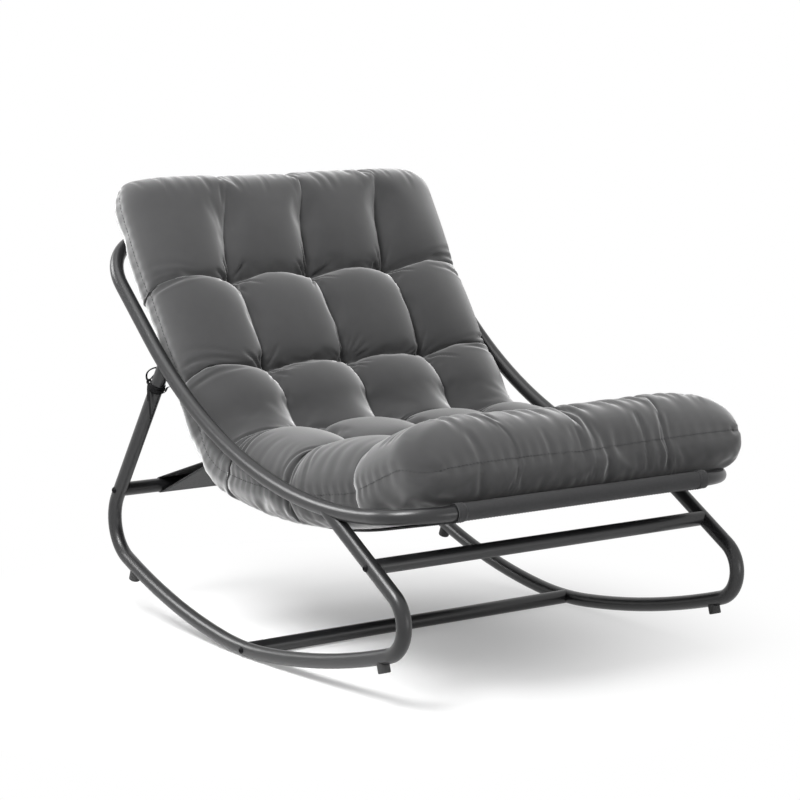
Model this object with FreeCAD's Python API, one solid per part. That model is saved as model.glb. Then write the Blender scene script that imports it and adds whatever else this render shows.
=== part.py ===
import FreeCAD, Part
import math
import os

# Rocking lounge chair: an egg-shaped loop of steel tube on two bent rockers, a fabric sling in the
# loop and one tufted cushion on the sling. Millimetres, +Z up, the sitter faces -Y, and the sitter's
# right-hand side frame is at -X. The floor is z = 0 and the origin is the middle of the footprint box.

V = FreeCAD.Vector

# Tube stock of the whole frame
tube_d = 25.0
tube_wall = 1.2
frame_w = 700.0           # between the centrelines of the two side frames

# Rocker: three tangent arcs on the floor, a bend at each end and two straight legs up to the rail
rock_mid_r = 650.0        # around the floor contact
rock_front_r = 1740.0
rock_rear_r = 1260.0
mid_front_turn_deg = 5.2      # degrees from the lowest point to the end of the middle arc
mid_rear_turn_deg = 7.0
front_turn_deg = 17.2         # degrees of slope where the front bend starts
rear_turn_deg = 22.3
front_bend_r = 53.0
rear_bend_r = 74.0
front_leg_rise_deg = 30.6     # degrees above level, rising towards the back
rear_leg_rise_deg = 56.0      # degrees above level, rising towards the front

# Seat loop: straight front tube, rounded corners, curved sides, straight upper back, top tube
rail_front_y = -460.6     # front tube, measured from the floor contact
rail_front_z = 308.6
rail_front_slope_deg = 6.8    # degrees, the sides rise towards the front tube
rail_side_r = 867.0
rail_back_slope_deg = 41.6    # degrees
rail_back_straight = 134.0
front_corner_r = 93.0
top_corner_r = 117.0

# Plug joints of the front and top tubes in the rails
rail_stub = 45.0          # straight end of a rail past its corner
spigot_length = 40.0
spigot_clearance = 0.2    # radial
shoulder_gap = 0.2

# Cross bars and their bolts
front_bar_up = 70.0       # along the front leg from its bend
rear_bar_up = 15.0        # along the rear leg from its bend
cope_gap = 0.2
weld_gap = 0.1            # between a rocker's shaped end and the rail
end_plug_length = 28.0
end_plug_clearance = 0.1
bolt_d = 6.0
bolt_hole_clearance = 0.3
thread_clearance = 0.05
bolt_head_d = 12.0
bolt_head_h = 4.0
bolt_socket_af = 4.0
bolt_socket_depth = 2.2

# Stops under the ends of the rockers: short round bumpers
stop_d = 20.5
stop_drop = 13.0          # below the tube
stop_edge_r = 2.0
front_stop_back = 22.5    # from the start of the end bend, along the rocker
rear_stop_back = 34.0
stop_screw_d = 4.0
stop_screw_length = 14.0
stop_screw_head_d = 8.0
stop_screw_head_h = 3.0

# Sling: cloth in sleeves on the front and top tubes, with a tie-down panel round the rear cross bar
cloth = 1.6
sleeve_clearance = 0.3
sleeve_lap = 3.0          # of the front sleeve over the rounded corners of the rails
top_sleeve_margin = 8.0   # of the top sleeve from the rounded corners of the rails
sling_low_back = 400.6    # lowest point of the seat panel, behind and below the front tube
sling_low_drop = 79.1
sling_seat_r = 1000.0
sling_seat_rise_deg = 10.0    # degrees where the seat panel turns into the back
sling_turn_r = 160.0
sewn_gap = 0.3

# Cushion: rows of puffs from the front roll to the top, drawn in by tufts between them
cushion_gap = 0.4         # above the sling, beside the rails and above the front sleeve
row_lengths = (182.0, 179.0, 204.0, 269.0, 208.0, 212.0)   # along the underside, roll to top row
tuft_heights = (74.0, 92.0, 106.0, 82.0, 72.0)             # bottoms of the tufts between those rows
tuft_pitch = 170.0        # across the cushion
seam_height = 62.0        # of the side seam above the underside
crown_height = 132.0      # top of a puff above the underside
channel_rise = 26.0       # from a tuft up to the channel between two tufts of its row
crease_drop = 18.0        # from a crown down to the crease between two puffs of a row
fold_swell = 30.0         # extra crown of the row that bridges the bend from seat to back
fold_row = 3
fold_reach = 120.0        # the pad turns more gently than the sling, over this much more on each side
fold_steps = 6
least_puff = 2.0          # swell that is left between two creases where the pad is smooth
underside_inset = 78.0    # from the side seam in to the flat underside
shoulder_inset = 46.0     # from the side seam in to the top of the side
shoulder_drop = 0.22      # of the height from seam to crown, at the top of the side
side_swell = 0.62         # how full the sides are above the seam
side_tuck = 0.55          # how full the sides are below the seam
roll_overhang = 50.0      # the front roll swells over the rails
roll_swell = 18.0         # extra crown of the front roll
top_spread = 8.0          # the top row swells past the gap between the rails
draw_in = 9.0             # sides between two puffs
puff_fullness = 0.7       # below 1 the puffs are fuller between the tuft rows
end_round = 62.0          # depth of the rounded front and top ends
end_corner = 56.0         # corner rounding of the pad's plan
end_thickness = 26.0      # of the pad's edge at its front and top seam
cover_t = 3.0             # lined cover
seat_filling_t = 36.0     # fibre batts inside the cover, pressed flat; the seat's is the heavier one
back_filling_t = 9.0
filling_inset = 8.0       # of a batt from the side of the flat underside
section_shares = (0.0, 0.12, 0.35, 0.65, 0.88)   # of each row, where its outlines are drawn
end_shares = (0.06, 0.3)                         # of each rounded end, likewise
lift_r = 450.0            # the underside climbs from the sling over the front sleeve
roll_reach = 25.0         # of the underside past the front sleeve

# Cushion ties: flat tape round the rear legs, just below the rails
tape_w = 8.0
tape_t = 1.2
tail_w = 3.5
tie_gap = 0.3
tie_down = 50.0           # below the joint of leg and rail, along the leg
knot_d = 10.0
knot_tail = 36.0
front_tail = 52.0
cord_r = 1.5              # the rolled-up tape of the loop and of the strand to the pad
loop_rise = 34.0
loop_bulge = 12.0
strand_from_tuft = 20.0   # where the strand is sewn to the side seam, along the pad from the tuft row

tube_r = tube_d / 2
bore_r = tube_r - tube_wall
side_x = frame_w / 2
sleeve_in_r = tube_r + sleeve_clearance
sleeve_mid_r = sleeve_in_r + cloth / 2
sleeve_out_r = sleeve_in_r + cloth
sling_w = frame_w - 2 * (front_corner_r - sleeve_lap)
sling_top_w = frame_w - 2 * (top_corner_r + top_sleeve_margin)


class SidePath:
    """A path in a side plane, in (y, z), of straight runs and tangent arcs. Headings: degrees from +Y."""

    def __init__(self, y, z, heading):
        self.y, self.z, self.heading = y, z, heading
        self.steps = []

    def direction(self):
        a = math.radians(self.heading)
        return math.cos(a), math.sin(a)

    def straight(self, length):
        c, s = self.direction()
        start = (self.y, self.z)
        self.y += length * c
        self.z += length * s
        self.steps.append(("line", start, (self.y, self.z), self.heading, length))
        return self

    def bend(self, radius, turn):
        """Turns by some degrees, left for a positive turn."""
        side = math.copysign(1.0, turn)
        c, s = self.direction()
        start = (self.y, self.z)
        cy = self.y - side * radius * s
        cz = self.z + side * radius * c
        places = []
        for share in (0.5, 1.0):
            a = math.radians(self.heading + turn * share)
            places.append((cy + side * radius * math.sin(a), cz - side * radius * math.cos(a)))
        self.steps.append(("arc", start, places[0], places[1], self.heading, radius, turn))
        self.heading += turn
        self.y, self.z = places[1]
        return self

    def edges(self, x):
        made = []
        for step in self.steps:
            points = [V(x, *p) for p in step[1:3] if isinstance(p, tuple)]
            if step[0] == "arc":
                points.append(V(x, *step[3]))
                made.append(Part.Arc(*points).toShape())
            else:
                made.append(Part.LineSegment(*points).toShape())
        return made

    def length(self):
        return sum(self.step_length(step) for step in self.steps)

    @staticmethod
    def step_length(step):
        return step[4] if step[0] == "line" else step[5] * math.radians(abs(step[6]))

    def at(self, s):
        """Point and heading at a distance along the path; past the ends it runs on straight."""
        for step in self.steps:
            length = self.step_length(step)
            if s <= length or step is self.steps[-1]:
                break
            s -= length
        if step[0] == "line":
            a = math.radians(step[3])
            return step[1][0] + s * math.cos(a), step[1][1] + s * math.sin(a), step[3]
        inside = min(max(s, 0.0), length)
        part = SidePath(*step[1], step[4]).bend(step[5], step[6] * max(inside / length, 1e-9))
        c, sn = part.direction()
        return part.y + (s - inside) * c, part.z + (s - inside) * sn, part.heading


def sweep(edges, radius):
    """Solid of a round section along a chain of tangent edges."""
    wire = Part.Wire(Part.__sortEdges__(edges))
    first = wire.OrderedEdges[0]
    start = wire.OrderedVertexes[0].Point
    near = first.Vertexes[0].Point.sub(start).Length < 1e-6
    at = first.FirstParameter if near else first.LastParameter
    profile = Part.Wire(Part.makeCircle(radius, start, first.tangentAt(at)))
    return wire.makePipeShell([profile], True, False)


def bent_tube(edges):
    return sweep(edges, tube_r).cut(sweep(edges, bore_r))


def rod(x0, x1, y, z, radius):
    return Part.makeCylinder(radius, x1 - x0, V(x0, y, z), V(1, 0, 0))


def mirrored(shape):
    return shape.mirror(V(0, 0, 0), V(1, 0, 0))


def both_sides(shapes):
    return Part.makeCompound(shapes + [mirrored(s) for s in shapes])


def save(node, shape):
    shape.exportStep("parts/" + node + ".step")
    print(node, len(shape.Solids), "solids", round(shape.Volume / 1000, 1), "cm3")


# Centrelines, measured from the floor contact

rear_half = SidePath(0.0, tube_r, 0.0)
rear_half.bend(rock_mid_r, mid_rear_turn_deg)
rear_half.bend(rock_rear_r, rear_turn_deg - mid_rear_turn_deg)
rear_bend_start = rear_half.length()
rear_half.bend(rear_bend_r, 180.0 - rear_leg_rise_deg - rear_turn_deg)
rear_leg_start = rear_half.length()

front_half = SidePath(0.0, tube_r, 180.0)
front_half.bend(rock_mid_r, -mid_front_turn_deg)
front_half.bend(rock_front_r, mid_front_turn_deg - front_turn_deg)
front_bend_start = front_half.length()
front_half.bend(front_bend_r, front_turn_deg + front_leg_rise_deg - 180.0)
front_leg_start = front_half.length()

slope = math.radians(rail_front_slope_deg)
rail = SidePath(
    rail_front_y + front_corner_r * math.cos(slope),
    rail_front_z - front_corner_r * math.sin(slope),
    -rail_front_slope_deg,
)
rail.bend(rail_side_r, rail_front_slope_deg + rail_back_slope_deg)
rail.straight(rail_back_straight)
back = math.radians(rail_back_slope_deg)
top_y = rail.y + top_corner_r * math.cos(back)
top_z = rail.z + top_corner_r * math.sin(back)

# The footprint box runs from the front sleeve to the top sleeve; its middle becomes y = 0
middle_y = (rail_front_y + top_y) / 2


def leg_to_rail(half):
    """Runs a leg on to the centreline of the rail and returns how far that is."""
    c, s = half.direction()
    reach = frame_w
    ray = Part.LineSegment(V(0, half.y, half.z), V(0, half.y + reach * c, half.z + reach * s)).toShape()
    hit = ray.distToShape(Part.Wire(rail.edges(0)))[1][0][0]
    length = math.hypot(hit.y - half.y, hit.z - half.z)
    half.straight(length)
    return length


rear_leg_length = leg_to_rail(rear_half)
front_leg_length = leg_to_rail(front_half)


def tangent_heading(y0, z0, r0, y1, z1, r1):
    """Heading of the line that leaves circle 0 and reaches circle 1; a radius is positive where its
    circle lies to the left of the line, and negative where it lies to the right."""
    gap = math.hypot(y1 - y0, z1 - z0)
    return math.degrees(math.atan2(z1 - z0, y1 - y0) - math.asin((r1 - r0) / gap))


def touch(y, z, r, heading):
    """Where a line with this heading touches a circle to its left, or to its right for a negative r."""
    a = math.radians(heading)
    return y + r * math.sin(a), z - r * math.cos(a)


# Sling profile: from under the front sleeve, straight, seat arc, turn and back, to the top sleeve
seat_cy = rail_front_y + sling_low_back
seat_cz = rail_front_z - sling_low_drop + sling_seat_r
front_heading = tangent_heading(rail_front_y, rail_front_z, sleeve_mid_r, seat_cy, seat_cz, sling_seat_r)
sling_start = touch(rail_front_y, rail_front_z, sleeve_mid_r, front_heading)
seat_start = touch(seat_cy, seat_cz, sling_seat_r, front_heading)
sling = SidePath(*sling_start, front_heading)
sling.straight(math.dist(sling_start, seat_start))
sling.bend(sling_seat_r, sling_seat_rise_deg - front_heading)
a = math.radians(sling_seat_rise_deg)
turn_cy = sling.y - sling_turn_r * math.sin(a)
turn_cz = sling.z + sling_turn_r * math.cos(a)
back_heading = tangent_heading(turn_cy, turn_cz, sling_turn_r, top_y, top_z, -sleeve_mid_r)
sling.bend(sling_turn_r, back_heading - sling_seat_rise_deg)
sling_turn_end = (sling.y, sling.z)
sling_end = touch(top_y, top_z, -sleeve_mid_r, back_heading)
sling.straight(math.dist(sling_turn_end, sling_end))


def shifted(shape):
    """Moves a shape from the floor contact's origin to the middle of the footprint."""
    shape.translate(V(0, -middle_y, 0))
    return shape


def rocker_edges():
    return rear_half.edges(-side_x) + front_half.edges(-side_x)


def rail_edges():
    front = V(-side_x + front_corner_r, rail_front_y, rail_front_z)
    side_start = V(-side_x, *rail.steps[0][1])
    bulge = 1 - math.sqrt(0.5)
    front_mid = V(
        -side_x + front_corner_r * bulge,
        rail_front_y + front_corner_r * bulge * math.cos(slope),
        rail_front_z - front_corner_r * bulge * math.sin(slope),
    )
    side_end = V(-side_x, rail.y, rail.z)
    top = V(-side_x + top_corner_r, top_y, top_z)
    top_mid = V(
        -side_x + top_corner_r * bulge,
        top_y - top_corner_r * bulge * math.cos(back),
        top_z - top_corner_r * bulge * math.sin(back),
    )
    along = V(rail_stub, 0, 0)
    ends = [
        Part.LineSegment(front + along, front).toShape(),
        Part.Arc(front, front_mid, side_start).toShape(),
        Part.Arc(side_end, top_mid, top).toShape(),
        Part.LineSegment(top, top + along).toShape(),
    ]
    return ends + rail.edges(-side_x)


bar_places = {
    "front": front_half.at(front_leg_start + front_bar_up)[:2],
    "base": (0.0, tube_r),
    "rear": rear_half.at(rear_leg_start + rear_bar_up)[:2],
}


def make_rail():
    return bent_tube(rail_edges())


def make_rocker():
    """One bent tube, shaped at its two ends to sit on the rail, with a hole for each cross-bar bolt."""
    tube = bent_tube(rocker_edges())
    tube = tube.cut(sweep(rail_edges(), tube_r + weld_gap))
    hole_r = bolt_d / 2 + bolt_hole_clearance
    for y, z in bar_places.values():
        tube = tube.cut(rod(-side_x - tube_d, -side_x + tube_d, y, z, hole_r))
    for screw in stop_screw_holes():
        tube = tube.cut(screw)
    return max(tube.Solids, key=lambda s: s.Volume)


def make_plug_tube(y, z, joint_x):
    """Straight tube with reduced ends that plug into the rails; its shoulders meet them at joint_x."""
    spigot_r = bore_r - spigot_clearance
    shoulder_x = joint_x - shoulder_gap
    tip_x = joint_x + spigot_length
    outline = [
        (-tip_x, spigot_r - tube_wall), (-tip_x, spigot_r), (-shoulder_x, spigot_r), (-shoulder_x, tube_r),
        (shoulder_x, tube_r), (shoulder_x, spigot_r), (tip_x, spigot_r), (tip_x, spigot_r - tube_wall),
        (shoulder_x - tube_wall, spigot_r - tube_wall), (shoulder_x - tube_wall, bore_r),
        (tube_wall - shoulder_x, bore_r), (tube_wall - shoulder_x, spigot_r - tube_wall),
    ]
    points = [V(x, y + r, z) for x, r in outline]
    face = Part.Face(Part.makePolygon(points + points[:1]))
    return face.revolve(V(0, y, z), V(1, 0, 0), 360)


def rocker_envelope():
    return sweep(rocker_edges(), tube_r + cope_gap)


def make_cross_bar(y, z):
    """Straight tube whose ends are shaped to the rockers."""
    bar = rod(-side_x, side_x, y, z, tube_r).cut(rod(-side_x, side_x, y, z, bore_r))
    keep_out = rocker_envelope()
    bar = bar.cut(keep_out).cut(mirrored(keep_out))
    return max(bar.Solids, key=lambda s: s.Volume)


def make_end_plug(y, z):
    """Threaded plug, welded into the right-hand end of a cross bar."""
    outer = -side_x + tube_r + cope_gap
    plug = rod(outer, outer + end_plug_length, y, z, bore_r - end_plug_clearance)
    return plug.cut(rod(outer, outer + end_plug_length, y, z, bolt_d / 2 + thread_clearance))


def make_bolt(y, z):
    """Button-head socket bolt on the outside of the right-hand rocker."""
    seat = -side_x - tube_r
    tip = -side_x + tube_r + cope_gap + end_plug_length
    shank = rod(seat, tip, y, z, bolt_d / 2)
    # the dome is a cap of a sphere that passes through the head's rim
    rim_r = bolt_head_d / 2
    dome_r = (rim_r ** 2 + bolt_head_h ** 2) / (2 * bolt_head_h)
    dome = Part.makeSphere(dome_r, V(seat - bolt_head_h + dome_r, y, z))
    head = dome.common(rod(seat - bolt_head_h, seat, y, z, rim_r))
    corner_r = bolt_socket_af / math.sqrt(3)
    corners = []
    for k in range(6):
        turn = math.radians(60 * k)
        corners.append(V(seat - bolt_head_h, y + corner_r * math.cos(turn), z + corner_r * math.sin(turn)))
    socket = Part.Face(Part.makePolygon(corners + corners[:1])).extrude(V(bolt_socket_depth, 0, 0))
    return head.fuse(shank).cut(socket).removeSplitter()


stop_places = {
    "front": (front_half.at(front_bend_start - front_stop_back), -1),
    "rear": (rear_half.at(rear_bend_start - rear_stop_back), 1),
}


def stop_frame(end):
    """Point on the rocker's centreline, direction along it and direction down from it."""
    (y, z, heading), side = stop_places[end]
    a = math.radians(heading)
    along = V(0, math.cos(a), math.sin(a))
    down = V(0, side * math.sin(a), -side * math.cos(a))
    return V(-side_x, y, z), along, down


def make_stop(end):
    """Moulded round block that hugs the underside of the rocker, with a recess for its screw."""
    place, along, down = stop_frame(end)
    bottom = tube_r + stop_drop
    block = Part.makeCylinder(stop_d / 2, bottom, place, down)
    foot_edges = [e for e in block.Edges if abs((e.CenterOfMass - place).dot(down) - bottom) < 1e-6]
    block = block.makeFillet(stop_edge_r, foot_edges)
    block = block.cut(rocker_envelope())
    clear_r = stop_screw_d / 2 + bolt_hole_clearance
    recess_r = stop_screw_head_d / 2 + bolt_hole_clearance
    recess_depth = stop_drop / 2
    block = block.cut(Part.makeCylinder(clear_r, bottom, place, down))
    recess_top = place + down * (bottom - recess_depth)
    block = block.cut(Part.makeCylinder(recess_r, recess_depth, recess_top, down))
    return max(block.Solids, key=lambda s: s.Volume)


def make_stop_screw(end):
    """Pan-head screw from the recess of a stop into the tube's lower wall."""
    place, along, down = stop_frame(end)
    seat = tube_r + stop_drop / 2
    head = Part.makeCylinder(stop_screw_head_d / 2, stop_screw_head_h, place + down * seat, down)
    tip = place + down * (seat - stop_screw_length)
    return head.fuse(Part.makeCylinder(stop_screw_d / 2, stop_screw_length, tip, down)).removeSplitter()


def stop_screw_holes():
    made = []
    for end in stop_places:
        place, along, down = stop_frame(end)
        made.append(Part.makeCylinder(stop_screw_d / 2 + thread_clearance, tube_d, place, down))
    return made


def ring(y, z, width):
    """Sewn sleeve round a tube along X."""
    outer = rod(-width / 2, width / 2, y, z, sleeve_out_r)
    return outer.cut(rod(-width / 2, width / 2, y, z, sleeve_in_r))


def panel(path, width):
    """Cloth band along a side path, as wide as the sling."""
    edges = []
    for side in (-cloth / 2, cloth / 2):
        moved = offset_path(path, side)
        edges.append(moved.edges(-width / 2))
    starts = [e[0].Vertexes[0].Point for e in edges]
    ends = [e[-1].Vertexes[-1].Point for e in edges]
    caps = [Part.LineSegment(*starts).toShape(), Part.LineSegment(*ends).toShape()]
    face = Part.Face(Part.Wire(Part.__sortEdges__(edges[0] + edges[1] + caps)))
    return face.extrude(V(width, 0, 0))


def offset_path(path, up):
    """The same path, moved to its left by some distance."""
    first = path.steps[0]
    heading = first[3] if first[0] == "line" else first[4]
    a = math.radians(heading)
    moved = SidePath(first[1][0] - up * math.sin(a), first[1][1] + up * math.cos(a), heading)
    for step in path.steps:
        if step[0] == "line":
            moved.straight(step[4])
        else:
            moved.bend(step[5] - math.copysign(up, step[6]), step[6])
    return moved


def make_sling():
    """Seat and back panel with the two sleeves; the back narrows towards the top tube."""
    cloth_band = panel(sling, sling_w)
    side_cut = (sling_w - sling_top_w) / 2
    for side in (-1, 1):
        corner = V(side * sling_w / 2, 0, turn_cz)
        outline = [corner, V(side * sling_w, 0, turn_cz), V(side * sling_w, 0, top_z + tube_d)]
        outline.append(V(side * (sling_w / 2 - side_cut), 0, top_z + tube_d))
        wedge = Part.Face(Part.makePolygon(outline + outline[:1])).extrude(V(0, frame_w * 2, 0))
        wedge.translate(V(0, -frame_w, 0))
        cloth_band = cloth_band.cut(wedge)
    front_sleeve = ring(rail_front_y, rail_front_z, sling_w)
    top_sleeve = ring(top_y, top_z, sling_top_w)
    bores = rod(-sling_w, sling_w, rail_front_y, rail_front_z, sleeve_in_r)
    bores = bores.fuse(rod(-sling_w, sling_w, top_y, top_z, sleeve_in_r))
    return cloth_band.fuse([front_sleeve, top_sleeve]).cut(bores).removeSplitter()


def teardrop(tip, y, z, radius):
    """Outline, in the plane x = 0, of a loop of cloth from a sewn edge round a bar."""
    upper = tangent_heading(*tip, 0.0, y, z, -radius)
    lower = tangent_heading(*tip, 0.0, y, z, radius)
    high = touch(y, z, -radius, upper)
    low = touch(y, z, radius, lower)
    mid = math.radians((upper + lower) / 2)
    far = (y + radius * math.cos(mid), z + radius * math.sin(mid))
    points = [V(0, *p) for p in (tip, high, far, low)]
    edges = [
        Part.LineSegment(points[0], points[1]).toShape(),
        Part.Arc(points[1], points[2], points[3]).toShape(),
        Part.LineSegment(points[3], points[0]).toShape(),
    ]
    return Part.Face(Part.Wire(edges))


def make_tie_down():
    """Panel sewn under the sling where the seat turns into the back, looped round the rear cross bar."""
    y, z = bar_places["rear"]
    a = math.radians(back_heading)
    reach = cloth / 2 + sewn_gap
    tip = (sling_turn_end[0] + reach * math.sin(a), sling_turn_end[1] - reach * math.cos(a))
    length = math.dist(tip, (y, z))
    # the inner tip stands back so that both cloths are one thickness where they part
    back_off = cloth / math.sin(math.asin(sleeve_out_r / length))
    inner_tip = (tip[0] + (y - tip[0]) * back_off / length, tip[1] + (z - tip[1]) * back_off / length)
    loop = teardrop(tip, y, z, sleeve_out_r).cut(teardrop(inner_tip, y, z, sleeve_in_r))
    solid = loop.extrude(V(sling_w, 0, 0))
    solid.translate(V(-sling_w / 2, 0, 0))
    return max(solid.Solids, key=lambda s: s.Volume)


# Underside of the cushion: over the front sleeve, down to the sling and up along the back
row_starts = [sum(row_lengths[:k]) for k in range(len(row_lengths) + 1)]
cushion_length = row_starts[-1]


def make_underside():
    """The path from the pad's front edge to its top edge."""
    on_sling = offset_path(sling, cloth / 2 + cushion_gap)
    # the climbing arc touches both the line of the front panel and the front sleeve
    sleeve_r = sleeve_out_r + cushion_gap
    tube_above = sleeve_in_r - cushion_gap
    lift_along = math.sqrt((lift_r + sleeve_r) ** 2 - (lift_r - tube_above) ** 2)
    turn = math.degrees(math.asin(lift_along / (lift_r + sleeve_r)) + roll_reach / lift_r)
    climb = SidePath(*on_sling.at(lift_along)[:2], front_heading + 180.0)
    climb.bend(lift_r, -turn)
    path = SidePath(climb.y, climb.z, climb.heading - 180.0)
    path.bend(lift_r, turn)
    path.straight(SidePath.step_length(on_sling.steps[0]) - lift_along)
    for step in on_sling.steps[1:-1]:
        path.bend(step[5], step[6])
    path.straight(max(cushion_length - path.length(), row_lengths[-1]))
    return path


underside = make_underside()


def ease(t):
    """Fullness of a puff between two tuft rows, 0 at a row and 1 at the middle."""
    return max(math.sin(math.pi * t), 0.0) ** puff_fullness


def end_shrink(s):
    """1 along the pad, falling to 0 as a quarter round at its front and top ends."""
    near = min(s, cushion_length - s)
    if near >= end_round:
        return 1.0
    return math.sqrt(max(1 - (1 - near / end_round) ** 2, 0.0))


def pad_heading(s):
    """Heading of the pad, which is that of its underside averaged over the reach of the fold."""
    steps = range(-fold_steps, fold_steps + 1)
    return sum(underside.at(s + fold_reach * k / fold_steps)[2] for k in steps) / len(steps)


def cushion_section(s, inset=0.0):
    """Closed outline across the pad at a distance along its underside, or the same one drawn inside it."""
    last_row = len(row_lengths) - 1
    row = max(k for k in range(last_row + 1) if s >= row_starts[k] - 1e-6)
    t = (s - row_starts[row]) / row_lengths[row]
    first, last = row == 0, row == last_row
    # the roll and the top row are drawn in at one side only
    fullness = ease(0.5 + t / 2) if first else ease(t / 2) if last else ease(t)
    before = tuft_heights[max(row - 1, 0)]
    after = tuft_heights[min(row, last_row - 1)]
    tuft = before + (after - before) * t
    full = end_shrink(s)
    half = side_x - tube_r - 2 * cushion_gap
    flat_x = half - underside_inset - end_corner * (1 - full)
    half += roll_overhang * fullness if first else top_spread * fullness if last else 0.0
    half -= draw_in * (1 - fullness) + end_corner * (1 - full)
    top = crown_height + (roll_swell if first else fold_swell if row == fold_row else 0.0)
    crown = tuft + channel_rise + (top - tuft - channel_rise) * fullness
    deep = tuft + (top - (0.0 if first else crease_drop) - tuft) * fullness
    thin = end_thickness / 2
    crown = seam_height + thin + (crown - seam_height - thin) * full
    deep = seam_height + thin + (deep - seam_height - thin) * full
    deep = min(deep, crown - least_puff)
    low = (seam_height - thin) * (1 - full) + inset
    pitch = tuft_pitch * (half / (side_x - tube_r))
    half -= inset
    flat_x -= inset
    crown -= inset
    deep -= inset
    edge_x = half - shoulder_inset
    edge_n = crown - shoulder_drop * (crown - seam_height)
    # each side bulges out of the straight line from its seam
    swell_x = half - (1 - side_swell) * side_swell * shoulder_inset
    side_up = (swell_x, seam_height + side_swell * (edge_n - seam_height))
    tuck_x = half - (1 - side_tuck) * side_tuck * (half - flat_x)
    side_down = (tuck_x, seam_height - side_tuck * (seam_height - low))
    y, z, _ = underside.at(s)
    a = math.radians(pad_heading(s))

    def at(x, n):
        return V(x, y - n * math.sin(a), z + n * math.cos(a))

    def arc(p, q, r):
        return Part.Arc(at(*p), at(*q), at(*r)).toShape()

    outer_mid = (pitch + edge_x) / 2
    edges = [Part.LineSegment(at(-flat_x, low), at(flat_x, low)).toShape()]
    edges.append(arc((flat_x, low), side_down, (half, seam_height)))
    edges.append(arc((half, seam_height), side_up, (edge_x, edge_n)))
    edges.append(arc((edge_x, edge_n), (outer_mid, crown), (pitch, deep)))
    edges.append(arc((pitch, deep), (pitch / 2, crown), (0, deep)))
    edges.append(arc((0, deep), (-pitch / 2, crown), (-pitch, deep)))
    edges.append(arc((-pitch, deep), (-outer_mid, crown), (-edge_x, edge_n)))
    edges.append(arc((-edge_x, edge_n), (-side_up[0], side_up[1]), (-half, seam_height)))
    edges.append(arc((-half, seam_height), (-side_down[0], side_down[1]), (-flat_x, low)))
    return Part.Wire(edges)


def seam_point(s):
    """The widest point of the pad on the +X side, at its side seam."""
    corners = cushion_section(s).Vertexes
    widest = max(corners, key=lambda v: v.X)
    return widest.X, widest.Y, widest.Z


def section_places():
    """Where the pad's outlines are drawn: at each tuft row, between the rows and denser at the ends."""
    places = [cushion_length]
    for start, length in zip(row_starts, row_lengths):
        places += [start + share * length for share in section_shares]
    for share in end_shares:
        places += [share * end_round, cushion_length - share * end_round]
    return sorted(places)


def make_cushion():
    """Sewn cover: a loft through the outlines, hollow inside for its filling."""
    places = section_places()
    outside = Part.makeLoft([cushion_section(s) for s in places], True, True)
    inside = Part.makeLoft([cushion_section(s, cover_t) for s in places[1:-1]], True, True)
    return outside.cut(inside)


def make_filling(first_row, last_row, thickness):
    """Fibre batt on the underside of the cover, through the middles of its first and last rows."""
    start = row_starts[first_row] + row_lengths[first_row] / 2
    end = row_starts[last_row] + row_lengths[last_row] / 2
    half = side_x - tube_r - underside_inset - filling_inset
    low = cover_t + cushion_gap
    outlines = []
    for s in section_places():
        if start < s < end:
            y, z, _ = underside.at(s)
            a = math.radians(pad_heading(s))
            corners = []
            for x, n in ((-half, low), (half, low), (half, low + thickness), (-half, low + thickness)):
                corners.append(V(x, y - n * math.sin(a), z + n * math.cos(a)))
            outlines.append(Part.makePolygon(corners + corners[:1]))
    return Part.makeLoft(outlines, True, True)


def make_tie():
    """Tape round the right-hand rear leg: band, knot, two tails, a loose loop and the strand to the pad."""
    y, z, heading = rear_half.at(rear_leg_start + rear_leg_length - tie_down)
    a = math.radians(heading)
    up = V(0, math.cos(a), math.sin(a))
    rear = V(0, math.sin(a), -math.cos(a))
    out = V(-1, 0, 0)
    place = V(-side_x, y, z)
    inner_r = tube_r + tie_gap
    tie = Part.makeCylinder(inner_r + tape_t, tape_w, place - up * (tape_w / 2), up)
    knot = place + (out + rear) * ((inner_r + knot_d / 2) / math.sqrt(2))
    tie = tie.fuse(Part.makeSphere(knot_d / 2, knot))
    outside = -side_x - inner_r - tape_t
    hangs = ((knot.y, knot.z, knot_tail), (y - tail_w, z, front_tail))
    for tail_y, tail_z, length in hangs:
        corner = V(outside - tape_t, tail_y - tail_w / 2, tail_z - length)
        tie = tie.fuse(Part.makeBox(tape_t * 2, tail_w, length, corner))
    loop_end = place + up * loop_rise + rear * (inner_r + cord_r)
    loop_mid = (knot + loop_end) * 0.5 + (rear + out * 0.5) * loop_bulge
    tie = tie.fuse(sweep([Part.Arc(knot, loop_mid, loop_end).toShape()], cord_r))
    sewn_s = row_starts[-3] - strand_from_tuft
    seam = seam_point(sewn_s)
    strand_start = place - rear * (inner_r + tape_t / 2)
    strand_end = V(-seam[0] - cord_r - cushion_gap, seam[1], seam[2])
    tie = tie.fuse(sweep([Part.LineSegment(strand_start, strand_end).toShape()], cord_r))
    tie = tie.cut(sweep(rocker_edges(), inner_r))
    return max(tie.Solids, key=lambda s: s.Volume)


os.makedirs("parts", exist_ok=True)

right_rail = shifted(make_rail())
save("right_seat_rail", right_rail)
save("left_seat_rail", mirrored(right_rail))
front_joint_x = side_x - front_corner_r - rail_stub
top_joint_x = side_x - top_corner_r - rail_stub
save("front_seat_tube", shifted(make_plug_tube(rail_front_y, rail_front_z, front_joint_x)))
save("top_seat_tube", shifted(make_plug_tube(top_y, top_z, top_joint_x)))

right_rocker = shifted(make_rocker())
save("right_rocker", right_rocker)
save("left_rocker", mirrored(right_rocker))

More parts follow.
